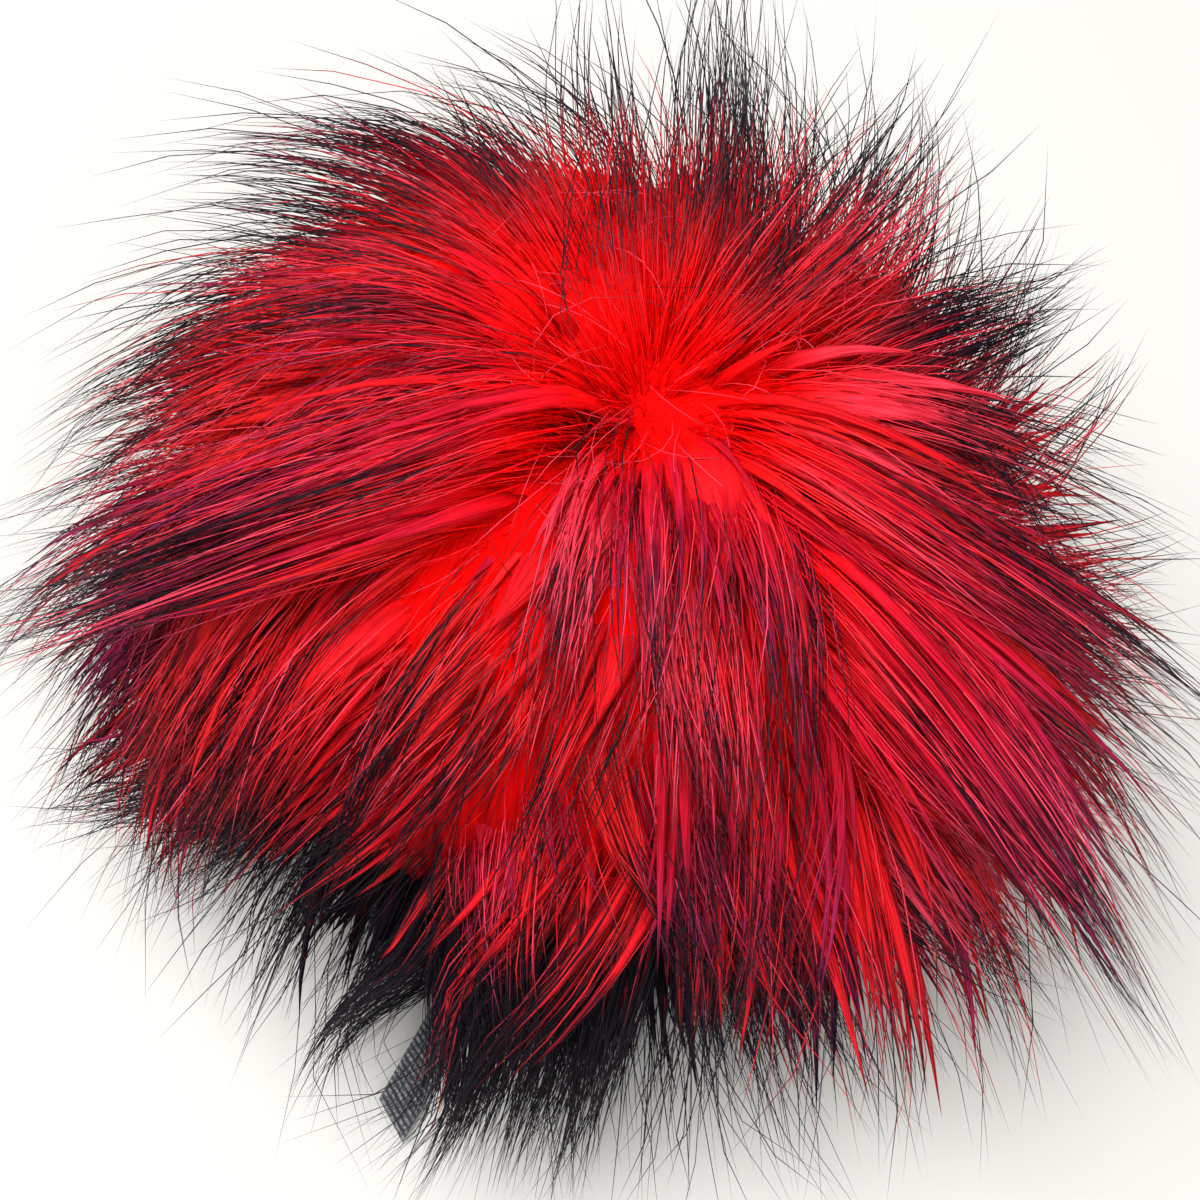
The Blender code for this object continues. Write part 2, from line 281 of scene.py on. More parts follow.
featured = dict(zip(COLUMNS, np.array(list(FEATURED.values())).T))
for column in ("azimuth", "polar"):
    featured[column] = np.radians(featured[column])
featured_directions = towards(featured["azimuth"], featured["polar"])
plain_directions = spread_directions(LOCKS, LOCK_SHUFFLE)
apart = (plain_directions @ featured_directions.T).max(axis=1) < CLEAR_OF_FEATURED
plain = chance_locks(plain_directions[apart])
lock = {column: np.concatenate([featured[column], plain[column]]) for column in COLUMNS}
off = angle_from(lock["azimuth"], BULGE_AT)
lock["longer"] = lock["longer"] * (1 + BULGE * np.exp(-((off / BULGE_HALF_WIDTH) ** 2)))
lock_directions = np.concatenate([featured_directions, plain_directions[apart]])
print(len(FEATURED), "locks set by hand,", int(apart.sum()), "by chance")


# %% [markdown]
# The pile isn't the same all the way round. At the upper back it is short, thin and dark at the ends.
# In front the low hairs are black nearly to their roots. Over the ribbon's free end they part. Each of
# these is a number from 0 to 1 for every place on the ball, so that lengths, counts and dyes can all
# be multiplied by it.

# %% Places round the ball
UPPER_TO = np.radians((92, 130))
THIN_AT = math.radians(86)
THIN_BEYOND = -0.75
THIN_WHEN_LOW = 0.60


def behind(azimuth, polar):
    """How far hairs belong to the thin back: cos(heading - THIN_AT) above THIN_BEYOND, less low down."""
    facing = np.cos(azimuth + swirl(azimuth) - THIN_AT)
    share = np.clip((facing - THIN_BEYOND) / (1 - THIN_BEYOND), 0, 1)
    return share * np.interp(polar, UPPER_TO, (1, THIN_WHEN_LOW))


FRONT = math.radians(262)
FRONT_HALF_WIDTH = math.radians(42)
FRONT_WHEN_HIGH = 0.34
RIBBON_AT = math.radians(245)
RIBBON_GAP_HALF_WIDTH = math.radians(6.5)
FEWER_OVER_RIBBON = 0.85
FRONT_FROM = np.radians((54, 86))
RIBBON_GAP_FROM = np.radians((35, 60))


def window(azimuth, polar, middle, half_width, low_from):
    """exp(-(angle from middle / half_width)^2), for hairs rooted low; nothing for those near the crown."""
    off = angle_from(azimuth, middle)
    return np.exp(-((off / half_width) ** 2)) * np.interp(polar, low_from, (0, 1))


def front(azimuth, polar):
    """How black the front makes hairs: wholly when rooted low, a share of it when rooted high."""
    off = angle_from(azimuth, FRONT)
    return np.exp(-((off / FRONT_HALF_WIDTH) ** 4)) * np.interp(polar, FRONT_FROM, (FRONT_WHEN_HIGH, 1))


def over_ribbon(azimuth, polar):
    """How far hairs lie over the ribbon's free end."""
    return window(azimuth, polar, RIBBON_AT, RIBBON_GAP_HALF_WIDTH, RIBBON_GAP_FROM)


print("behind, left to right:", np.round(behind(np.radians([180, 90, 0]), np.radians([40, 40, 40])), 2))


# %% [markdown]
# A wisp takes after its lock but not wholly: it is a little longer or shorter, turns a little more
# or less, and one wisp in four picks its own shade of red. A featured lock gets some wisps of its
# own, rooted close together, so that it stands out as a tuft.

# %% Wisps
BEHAVES = ("longer", "lift", "turn", "inward")
BARE_CROWN = np.radians((14, 44))
BARE_GUARDS = 0.08
BARE_FLAMES = 0.30
THIN_BEHIND = 0.78
DRAWN_IN_BEHIND = 0.04
RED_AT_LEFT = math.radians(168)
RED_AT_RIGHT = math.radians(328)
RED_HALF_WIDTH = math.radians(32)
REDDER = 0.62
ROOTED_ANYWHERE = (0, 0.01)
WISP_SHUFFLE = 0.025
TUFT_SHUFFLE = 0.03
LOCK_EDGE_SHUFFLE = 0.004
TAKES_LOCKS_TINT = 0.75
GUARDS_FEWER_FROM = np.radians((65, 110))
GUARDS_WHEN_LOW = 0.25
LEAST_DARK = 0.10
DARK_VARIES = 0.28
DARKEST = 1.6

near_featured = featured_directions.repeat(WISPS_OF_FEATURED, axis=0)
near_featured = near_featured + chance.normal(0, TUFT_SHUFFLE, near_featured.shape)
near_featured /= np.linalg.norm(near_featured, axis=1)[:, None]
wisp_directions = np.concatenate([spread_directions(WISPS, WISP_SHUFFLE), near_featured])
wisps = len(wisp_directions)
nearness = wisp_directions @ lock_directions.T
nearness = nearness + chance.normal(0, LOCK_EDGE_SHUFFLE, nearness.shape)
parent_of_wisp = nearness.argmax(axis=1)
parent_of_wisp[WISPS:] = np.arange(len(FEATURED)).repeat(WISPS_OF_FEATURED)
wisp_azimuth, wisp_polar = angles(wisp_directions)
taken = {column: lock[column][parent_of_wisp] for column in COLUMNS}
high_wisp = 1 - wisp_polar / LAST_ROOT
by_hand = parent_of_wisp < len(FEATURED)
wisp_behind = behind(wisp_azimuth, wisp_polar)
thinned = 1 - THIN_BEHIND * wisp_behind
half_thinned = (1 + thinned) / 2
crown_guards = thinned * np.interp(wisp_polar, BARE_CROWN, (BARE_GUARDS, 1))
crown_flames = np.interp(wisp_polar, BARE_CROWN, (BARE_FLAMES, 1))
low_guards = np.interp(wisp_polar, GUARDS_FEWER_FROM, (1.0, GUARDS_WHEN_LOW))
ribbon_shows = 1 - FEWER_OVER_RIBBON * over_ribbon(wisp_azimuth, wisp_polar)
red_sides = sum(
    window(wisp_azimuth, wisp_polar, middle, RED_HALF_WIDTH, ROOTED_ANYWHERE)
    for middle in (RED_AT_LEFT, RED_AT_RIGHT)
)
wisp = {
    "azimuth": wisp_azimuth,
    "polar": wisp_polar,
    "longer": taken["longer"] * chance.uniform(0.90, 1.07, wisps) * (1 - DRAWN_IN_BEHIND * wisp_behind),
    "lift": taken["lift"] + chance.uniform(-0.001, 0.003, wisps),
    "turn": taken["turn"] + chance.normal(0, 0.08, wisps),
    "inward": taken["inward"] + chance.uniform(-0.03, 0.12, wisps) * high_wisp,
    "dark": np.clip(
        LEAST_DARK + (1 - LEAST_DARK) * taken["dark"] + chance.normal(0, DARK_VARIES, wisps), 0, DARKEST
    )
    * (1 - REDDER * red_sides),
    "tint": np.where(
        chance.random(wisps) < TAKES_LOCKS_TINT,
        taken["tint"],
        chance.choice(len(TINT_SHARES), wisps, p=TINT_SHARES),
    ),
    "guards": taken["guards"] * low_guards * ribbon_shows * np.where(by_hand, half_thinned, crown_guards),
    "flames": half_thinned * np.where(by_hand, 1, crown_flames),
    "width": chance.uniform(0.0012, 0.0023, wisps),
}
lock["parent"] = np.arange(len(lock_directions))
wisp["parent"] = parent_of_wisp
print(wisps, "wisps")


# %% [markdown]
# A hair is a thin three-sided spike: three corners at each ring are the fewest that still close a
# round shape, and smooth shading hides that there are only three. All hairs of one kind are one
# mesh, filled straight from arrays. Each hair also gets a narrow column of the piece's UV map,
# root at the bottom and tip at the top, so that a material can dye it along its length.

# %% Hairs as one mesh
DYES = 24
TINTS = 4
LONGEST = 1.12
TAPER = 0.5
COLUMN_MARGIN = 0.12  # left free at each side of a hair's column in the map
ROOT_FACE_HEIGHT = 0.004  # gives the face under a root some height of its own in the map
TINY = 1e-12  # keeps a length of nothing from dividing


def strand_arrays(lines, widths, roll, aside, corners, flat):
    """Corner points of spikes, (hair, ring, corner, xyz).

    Corner k of a ring is line + half-width * (cos(turn) * normal + flat * sin(turn) * binormal),
    with turn = roll + 360k / corners. The frame comes from the tangent and a level direction aside.
    """
    tangent = np.gradient(lines, axis=1)
    tangent /= np.linalg.norm(tangent, axis=2, keepdims=True) + TINY
    normal = aside[:, None, :] - tangent * (tangent * aside[:, None, :]).sum(axis=2, keepdims=True)
    normal /= np.linalg.norm(normal, axis=2, keepdims=True) + TINY
    binormal = np.cross(tangent, normal)
    turn = roll[:, None, None] + np.arange(corners) * 2 * math.pi / corners
    sideways = np.cos(turn)[..., None] * normal[:, :, None, :]
    upwards = flat * np.sin(turn)[..., None] * binormal[:, :, None, :]
    return lines[:, :, None, :] + (sideways + upwards) * (widths / 2)[:, :, None, None]


def spike_mesh(name, lines, widths, dye, tint, heights, roll, aside, corners=3, flat=1.0):
    """One mesh of closed spikes: rings joined by quads, a fan of faces at the tip, one face at the root."""
    count, rings = lines.shape[0], lines.shape[1] - 1
    ring_points = strand_arrays(lines, widths, roll, aside, corners, flat)[:, :rings]
    points = np.concatenate([ring_points.reshape(count, rings * corners, 3), lines[:, -1:]], axis=1)
    per_hair = rings * corners + 1
    side = np.arange(corners)
    ring = np.arange(rings - 1)[:, None]
    low, high = ring * corners + side, ring * corners + (side + 1) % corners
    quads = np.stack([low, high, high + corners, low + corners], axis=-1).reshape(-1, 4)
    top = (rings - 1) * corners
    tips = np.stack([top + side, top + (side + 1) % corners, np.full(corners, rings * corners)], axis=-1)
    start = (np.arange(count) * per_hair)[:, None]
    loops = np.concatenate([quads.ravel(), tips.ravel(), side[::-1]])
    sizes = np.concatenate([np.full(len(quads), 4), np.full(len(tips), 3), [corners]])
    mesh = bpy.data.meshes.new(name)
    mesh.vertices.add(count * per_hair)
    mesh.vertices.foreach_set("co", points.astype(np.float32).ravel())
    mesh.loops.add(count * len(loops))
    mesh.loops.foreach_set("vertex_index", (loops + start).astype(np.int32).ravel())
    mesh.polygons.add(count * len(sizes))
    begins = np.concatenate([[0], np.cumsum(sizes)[:-1]])
    begins = begins + np.arange(count)[:, None] * len(loops)
    mesh.polygons.foreach_set("loop_start", begins.astype(np.int32).ravel())
    mesh.update(calc_edges=True)
    mesh.shade_smooth()
    across_quads = np.tile(np.stack([side, side + 1, side + 1, side], axis=-1), (rings - 1, 1)) / corners
    across_tips = np.stack([side, side + 1, side + 0.5], axis=-1) / corners
    across = np.concatenate([across_quads.ravel(), across_tips.ravel(), 1 - (side + 0.5) / corners])
    up_at = np.concatenate([quads.ravel() // corners, tips.ravel() // corners, 0 * side])
    column = np.floor(dye * (DYES - 1) + 0.5) + DYES * tint
    u = (column[:, None] + COLUMN_MARGIN + (1 - 2 * COLUMN_MARGIN) * across) / (DYES * TINTS)
    v = heights[:, up_at]
    v[:, -corners:] += ROOT_FACE_HEIGHT * np.sin(side * 2 * math.pi / corners + 0.5)
    uv = mesh.uv_layers.new(name="OFBake")
    uv.uv.foreach_set("vector", np.stack([u, v], axis=-1).astype(np.float32).ravel())
    return mesh


# %% [markdown]
# Every piece of fur is handed over the same way: it rides on the one body, and it stands in for the
# solid of the ball.

# %% A piece of fur
def add_fur(name, mesh):
    """Put a mesh of fur in the scene, riding on the root and standing in for the ball's solid."""
    piece = bpy.data.objects.new(name, mesh)
    scene.collection.objects.link(piece)
    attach(piece, "root")
    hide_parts("fur_ball")
    mesh.calc_loop_triangles()
    print(name, len(mesh.loop_triangles), "triangles")
    return piece


# %% [markdown]
# Close to the ball the hairs are too dense to tell apart, and a closed surface stands for them. How
# far out it lies is a share of the hairs' own lines, so that the drape formula also gives its form,
# and hairs can start just inside it, where nobody sees their ends.

# %% How far out the dense part reaches
UNDERFUR_AT_CROWN = 0.26
UNDERFUR_AT_SIDES = 0.37
UNDERFUR_STARTS = math.radians(15)
UNDERFUR_FULL = math.radians(70)
ROOTED = 0.05
BODY_LAST = math.radians(178)
BODY_LEAVES_TOP = 0.35
BODY_LEAVES_BASE = 0.5
BODY_LOWER_BEHIND = 0.36


def underfur_at(polar):
    """How far along its hairs the dense underfur reaches: a little more at the sides than at the crown."""
    share = np.clip((polar - UNDERFUR_STARTS) / (UNDERFUR_FULL - UNDERFUR_STARTS), 0, 1)
    return UNDERFUR_AT_CROWN + (UNDERFUR_AT_SIDES - UNDERFUR_AT_CROWN) * share**2 * (3 - 2 * share)


def body_at(azimuth, polar):
    """How far along its hairs the closed body lies: underfur_at, less behind, none at crown and base."""
    edge = np.clip(np.minimum(polar / BODY_LEAVES_TOP, (BODY_LAST - polar) / BODY_LEAVES_BASE), 0, 1)
    return underfur_at(polar) * edge**2 * (3 - 2 * edge) * (1 - BODY_LOWER_BEHIND * behind(azimuth, polar))


# %% [markdown]
# Three things are done to a hair's line after the drape: it clings to its wisp and lock, it is
# pushed off the ribbon, and it is told which part of the dye map it uses.

# %% Clinging, parting and dyeing
LOW_STARTS = 0.28
LOW_FROM = np.radians((50, 80))
PARTED_FROM = 0.71
PARTED_OVER = 0.18
PARTED = 0.0072
PARTED_WITHIN = 0.0082
PARTED_LEFT = -0.0010
RIBBON_START = np.array([0.0070, -0.0110])
RIBBON_TIP = np.array([-0.0325, -0.0830])


def dyed_from(polar, along):
    """Heights in the map: along / LONGEST, and squeezed up from LOW_STARTS for hairs rooted low."""
    floor = LOW_STARTS * np.interp(polar, LOW_FROM, (0, 1))[:, None]
    return floor + (1 - floor) * along / LONGEST


def ribbon_frame():
    """The ribbon's length, and the directions along it and across it."""
    whole = RIBBON_TIP - RIBBON_START
    length = np.hypot(*whole)
    return length, whole / length, np.array([-whole[1], whole[0]]) / length


def parted(lines):
    """Lines pushed to the sides of the ribbon's free end, more the nearer they are to it.

    The push is PARTED * exp(-(distance aside / PARTED_WITHIN)^2), easing in along the ribbon.
    """
    length, ahead, across = ribbon_frame()
    from_start = lines[..., :2] - RIBBON_START
    share = np.clip((from_start @ ahead / length - PARTED_FROM) / PARTED_OVER, 0, 1)
    aside = from_start @ across
    side = np.where(aside.mean(axis=1, keepdims=True) > PARTED_LEFT, 1, -1)
    push = side * PARTED * share**2 * (3 - 2 * share) * np.exp(-((aside / PARTED_WITHIN) ** 2))
    lines = lines.copy()
    lines[..., :2] += push[..., None] * across
    return lines


def level_aside(lines):
    """Level directions across each line: its tip's heading from the axis, turned a quarter."""
    heading = np.arctan2(lines[:, -1, 1], lines[:, -1, 0])
    return np.stack([-np.sin(heading), np.cos(heading), 0 * heading], axis=1)


def draped(rows, azimuth, polar, along):
    """The drape of hairs at these places that behave as their rows say."""
    return drape(azimuth, polar, along, *(rows[column] for column in BEHAVES))


def eased(along):
    """From 0 at the root to 1 at along = 1: along^2 * (3 - 2 * along), and along^2 further out."""
    return along * along * (3 - 2 * np.minimum(along, 1))


def clinging(rows, along):
    """Middle lines of wisps: their own drape, drawn to their lock's by cling * eased(along)^1.5."""
    own = draped(rows, rows["azimuth"], rows["polar"], along)
    lock_rows = {column: lock[column][rows["parent"]] for column in COLUMNS}
    theirs = draped(lock_rows, lock_rows["azimuth"], lock_rows["polar"], along)
    return own + (theirs - own) * (lock_rows["cling"][:, None] * eased(along) ** 1.5)[..., None]


# %% [markdown]
# Fine hairs are what the eye reads as fur. Their number is limited, so each is thicker than a real
# one. They are shared out by chance among the wisps, and differ in length, in how tightly
# they cling and in how far down they are dyed.

# %% Fine hairs
BLACKER_IN_FRONT = 0.75
SHORTER_AT_RIBBON = 0.20
RED_SHORTER_BEHIND = 0.60
GUARDS_SHORTER_BEHIND = 0.65
ALL_BLACK = 0.11
BLACKER_BEHIND = 0.54
# The index of the pinkest red, which is partly the fibres' own colour and partly painted sheen.
PINK_WITH_SHEEN = 3.0
RING_JITTER = 0.15
FIRST_ROOT = 0.02
LONER_CLING = 0.1
BEND_WAVE = 3.1  # one arch along a hair
FULL_TURN = 6.28
HAIRS_FROM = 0.0014  # least height of a hair over the surface
HAIRS_UP_TO = 0.0016  # how much more than that it may be, by chance
HAIRS_VARY = (0.75, 1.25)


def make_hairs(
    name, seed, count, rings, shortest, longest, thickness, stray, spread, dyed, clings, pinker,
    lowest=180, guards=False,
):
    """Hairs rooted round the wisps, each drawn towards its wisp and lock the further out it is.

    dyed, clings and pinker are told with the pile. No wisp rooted further down than the polar angle
    lowest, in degrees, gets any. stray is how far a tip wanders, spread how far roots lie from the wisp's.
    """
    own = np.random.default_rng(seed)
    weight = (wisp_polar < math.radians(lowest)) * (wisp["guards"] if guards else half_thinned)
    parent = own.choice(len(wisp_polar), count, p=weight / weight.sum())
    directions = wisp_directions[parent] + own.normal(0, spread, (count, 3))
    azimuth, polar = angles(directions / np.linalg.norm(directions, axis=1)[:, None])
    if guards:
        azimuth = wisp_azimuth[parent] + own.normal(0, spread, count)
    between = np.concatenate([[0], np.full(rings - 1, 1), [0]])
    uneven = between * own.uniform(-RING_JITTER, RING_JITTER, (count, rings + 1)) / rings
    steps = np.linspace(0, 1, rings + 1)[None] + uneven
    start = np.maximum(body_at(azimuth, polar)[:, None] - ROOTED, FIRST_ROOT)
    back = behind(azimuth, polar)
    shorter = own.uniform(0, GUARDS_SHORTER_BEHIND, count) if guards else RED_SHORTER_BEHIND
    size = start[:, 0] + own.uniform(shortest, longest, count) * (1 - start[:, 0]) * (1 - shorter * back)
    size = size * (1 - SHORTER_AT_RIBBON * over_ribbon(azimuth, polar))
    along = start + steps * (size[:, None] - start)
    rows = {key: values[parent] for key, values in wisp.items()}
    lines = draped(rows, azimuth, polar, along)
    least, most, loners = clings
    alone = own.random((count, 1)) < loners
    to_wisp = (np.where(alone, LONER_CLING, own.uniform(least, most, (count, 1))) * eased(along))[..., None]
    lines = lines + (clinging(rows, along) - lines) * to_wisp
    wander = own.normal(0, 1, (count, 1, 3)) * stray
    bend = own.normal(0, 1, (count, 1, 3)) * stray / 2
    lines = lines + wander * along[..., None] ** 3 + bend * np.sin(along * BEND_WAVE)[..., None]
    lines = parted(lines)
    lines[..., 2] = np.maximum(lines[..., 2], HAIRS_FROM + own.uniform(0, HAIRS_UP_TO, (count, 1)))
    widths = thickness * own.uniform(*HAIRS_VARY, (count, 1)) * (1 - TAPER * steps**3)
    least, gain, vary = dyed
    blacker = BLACKER_BEHIND * back + BLACKER_IN_FRONT * front(azimuth, polar)
    dye = np.clip(least + gain * rows["dark"] + blacker + own.normal(0, vary, count), 0, 1)
    if guards:
        dye = np.where(own.random(count) < ALL_BLACK, 1, dye)
    tint = np.where(own.random(count) < pinker, PINK_WITH_SHEEN, rows["tint"])
    heights = dyed_from(polar, along)
    roll = own.uniform(0, FULL_TURN, count)
    return add_fur(name, spike_mesh(name, lines, widths, dye, tint, heights, roll, level_aside(lines)))


# %% [markdown]
# Between single hairs and the dense body lie tapered bunches, like the points of a wet brush. Each is
# one closed flame-shaped solid, half as thick as it is wide, and stands for many hairs at once. They
# are left shorter at the back and in front, so that most of what reaches the edge there is guard hair.

# %% Flames of underfur
FLAME_FLAT = 0.5
FLAME_SWELLS = 0.5
FLAME_SHARP = 1.25
FLAME_ROOT = 0.01
FLAME_DYE = (0.08, 0.26, 0.08)
FLAMES_SHORTER_BEHIND = 0.86
FLAMES_SHORTER_IN_FRONT = 0.24
SHORTEST_FLAME = 0.15
FLAMES_CLING = (0.3, 0.9)
FLAMES_VARY = (0.8, 1.2)


def make_flames(name, rows, seed, rings, corners, begins, ends, count=0, apart=0):
    """Solid flames of underfur: width * s^SWELLS * (1 - s)^SHARP, over its own greatest value.

    begins is how far inside the body they start, ends how far along their lines they reach, least
    and most. A count of 0 gives each row one flame. apart spreads their roots round their wisp's.
    """
    own = np.random.default_rng(seed)
    if count == 0:
        pick = np.arange(len(rows["azimuth"]))
    else:
        pick = own.choice(len(rows["azimuth"]), count, p=rows["flames"] / rows["flames"].sum())
    rows = {key: values[pick] for key, values in rows.items()}
    count = len(pick)
    s = np.linspace(0, 1, rings + 1)[None]
    place = rows["azimuth"], rows["polar"]
    covered = body_at(*place)
    end = covered + (own.uniform(*ends, count) - covered) * (1 - FLAMES_SHORTER_BEHIND * behind(*place))
    end = end * (1 - FLAMES_SHORTER_IN_FRONT * np.sqrt(front(*place)))
    end = end * (1 - SHORTER_AT_RIBBON * over_ribbon(*place))
    start = np.clip(covered - begins, FIRST_ROOT, end - SHORTEST_FLAME)
    along = start[:, None] + s * (end - start)[:, None]
    lines = clinging(rows, along)
    if apart:
        directions = towards(rows["azimuth"], rows["polar"]) + own.normal(0, apart, (count, 3))
        azimuth, polar = angles(directions / np.linalg.norm(directions, axis=1)[:, None])
        loose = draped(rows, azimuth, polar, along)
        lines = loose + (lines - loose) * (own.uniform(*FLAMES_CLING, (count, 1)) * along**1.5)[..., None]
    widest = FLAME_SWELLS / (FLAME_SWELLS + FLAME_SHARP)
    fullest = widest**FLAME_SWELLS * (1 - widest) ** FLAME_SHARP
    shape = (s + FLAME_ROOT) ** FLAME_SWELLS * (1 - s) ** FLAME_SHARP / fullest
    widths = rows["width"][:, None] * own.uniform(*FLAMES_VARY, (count, 1)) * shape
    lines = parted(lines)
    lines[..., 2] = np.maximum(lines[..., 2], HAIRS_FROM + widths / 2 * FLAME_FLAT)
    blacker = BLACKER_BEHIND * behind(*place) + BLACKER_IN_FRONT * front(*place)
    least, gain, vary = FLAME_DYE
    dye = np.clip(least + gain * rows["dark"] + blacker + own.normal(0, vary, count), 0, 1)
    heights = dyed_from(rows["polar"], along)
    aside = level_aside(lines)
    mesh = spike_mesh(name, lines, widths, dye, rows["tint"], heights, 0 * end, aside, corners, FLAME_FLAT)
    return add_fur(name, mesh)


# %% [markdown]
# The pile is built from the inside out: wide flames for the locks, narrow ones for the wisps, short
# fuzz over the crown, soft underfur, and last the long guard hairs, in two pieces so that neither is
# too heavy. The three numbers of a dye say how far down the black comes at least, how much further
# on a dark lock, and how much it differs from hair to hair. Those of a cling say how tightly hairs
# keep to their wisp, least and most, and what share of them keeps almost to itself. pinker is the
# share of hairs that take the pinkest red, whatever their wisp has.

# %% The pile
RED_DYE = (0.04, 0.36, 0.07)
GUARD_DYE = (0.14, 0.50, 0.17)
SOFT = (0.30, 0.90, 0.0)
POINTED = (0.74, 1.0, 0.15)
lock_flames = make_flames(
    "lock_flames", lock, seed=15, rings=12, corners=12, begins=0.12, ends=(0.62, 0.90)
)
wisp_flames = make_flames(
    "wisp_flames", wisp, seed=16, rings=6, corners=5, begins=0.06, ends=(0.62, 1.04), count=3400, apart=0.035
)
fuzz = make_hairs(
    "crown_fuzz", seed=19, count=4500, rings=2, shortest=0.16, longest=0.40, thickness=0.00017,
    stray=0.0016, spread=0.050, dyed=RED_DYE, clings=SOFT, pinker=0.0, lowest=70,
)
underfur = make_hairs(
    "underfur", seed=21, count=12000, rings=3, shortest=0.16, longest=0.64, thickness=0.00018,
    stray=0.0012, spread=0.035, dyed=RED_DYE, clings=SOFT, pinker=0.15,
)
guard_hairs = [
    make_hairs(
        f"guard_hair_{k}", seed=30 + k, count=6000, rings=5, shortest=0.62, longest=1.14, thickness=0.00019,
        stray=0.0022, spread=0.045, dyed=GUARD_DYE, clings=POINTED, pinker=0.25, guards=True,
    )
    for k in (1, 2)
]


# %% [markdown]
# Faux fur is dyed twice: the whole fibre red, then its ends black. The map of a hair runs from root
# to tip, so one material can do both: its height picks the red and the start of the black, and its
# column picks the tint and the depth of the dye. A few small helpers keep the node trees readable.

# %% Shader helpers
def new_material(name):
    """A node material with its node tree and its Principled shader."""
    material = bpy.data.materials.new(name)
    material.use_nodes = True
    return material, material.node_tree, material.node_tree.nodes["Principled BSDF"]


def stepped_ramp(tree, colours):
    """A ramp that holds one colour over each equal share of its length."""
    node = tree.nodes.new("ShaderNodeValToRGB")
    ramp = node.color_ramp
    ramp.interpolation = "CONSTANT"
    ramp.elements.remove(ramp.elements[1])
    for index, colour in enumerate(colours):
        stop = ramp.elements[0] if index == 0 else ramp.elements.new(index / len(colours))
        stop.color = (*colour, 1)
    return node


def math_node(tree, operation, first, second):
    """One Math node; each input is another node's output or a number."""
    node = tree.nodes.new("ShaderNodeMath")
    node.operation = operation
    for socket, value in zip(node.inputs, (first, second)):
        if isinstance(value, (int, float)):
            socket.default_value = value
        else:
            tree.links.new(value, socket)
    return node.outputs[0]


def map_range(tree, value, low, high, to_low, to_high):
    """Values from low to high become to_low to to_high, and no further."""
    node = tree.nodes.new("ShaderNodeMapRange")
    for name, number in zip(("From Min", "From Max", "To Min", "To Max"), (low, high, to_low, to_high)):
        node.inputs[name].default_value = number
    tree.links.new(value, node.inputs["Value"])
    return node.outputs[0]


def mix_colour(tree, factor, first, second):
    """A colour mix; each colour is another node's output or three numbers."""
    node = tree.nodes.new("ShaderNodeMix")
    node.data_type = "RGBA"
    tree.links.new(factor, node.inputs["Factor"])
    for socket, colour in ((node.inputs["A"], first), (node.inputs["B"], second)):
        if isinstance(colour, tuple):
            socket.default_value = (*colour, 1)
        else:
            tree.links.new(colour, socket)
    return node.outputs["Result"]


def own_map(tree):
    """The piece's own map: its place as a whole, then across and up apart."""
    uv = tree.nodes.new("ShaderNodeUVMap")
    uv.uv_map = "OFBake"
    split = tree.nodes.new("ShaderNodeSeparateXYZ")
    tree.links.new(uv.outputs["UV"], split.inputs[0])
    return uv.outputs["UV"], split.outputs["X"], split.outputs["Y"]


def streak_noise(tree, place, stretch, detail):
    """Noise drawn out into streaks, by counting it more often across the map than up it."""
    stretched = tree.nodes.new("ShaderNodeVectorMath")
    stretched.operation = "MULTIPLY"
    tree.links.new(place, stretched.inputs[0])
    stretched.inputs[1].default_value = stretch
    noise = tree.nodes.new("ShaderNodeTexNoise")
    noise.inputs["Scale"].default_value = 1
    noise.inputs["Detail"].default_value = detail
    tree.links.new(stretched.outputs[0], noise.inputs["Vector"])
    return noise.outputs["Fac"]


def add_bump(tree, shader, height, strength, distance):
    """Bump on a shader's normal."""
    bump = tree.nodes.new("ShaderNodeBump")
    bump.inputs["Strength"].default_value = strength
    bump.inputs["Distance"].default_value = distance
    tree.links.new(height, bump.inputs["Height"])
    tree.links.new(bump.outputs["Normal"], shader.inputs["Normal"])


# %% [markdown]
# There are four reds, and each has its own shade towards the tip. Deep in the pile all of them turn
# into the one red of the dense part, so that hairs don't stand out where they leave the body.

# %% Dyed hair
# The third red, crimson turning purple at the tip, and the fourth, the pinkest, are partly the fibres' own
# colour and partly painted sheen.
REDS = ((0.67, 0.006, 0.010), (0.73, 0.011, 0.011), (0.49, 0.004, 0.020), (0.77, 0.030, 0.058))
RED_TIPS = ((0.58, 0.012, 0.021), (0.66, 0.018, 0.024), (0.28, 0.017, 0.088), (0.78, 0.058, 0.115))
DENSE_RED = (0.82, 0.001, 0.001)
HAIRS_OWN_RED = (0.28, 0.48)
FLAMES_OWN_RED = (0.22, 0.42)
TIP_BLACK = (0.005, 0.003, 0.007)
# The dark red between the streaks of a flame is painted shade, as falls between hairs.
SHADE_BETWEEN_STRANDS = (0.22, 0.000, 0.004)
TIP_SHADE_FROM = (0.5, 0.75)
BLACK_STARTS = (0.90, 0.28)  # for the least dyed hairs and the most dyed
BLACK_EASES_IN = 0.18
UNEVEN_START = 0.14
STREAKS_ALONG = 7


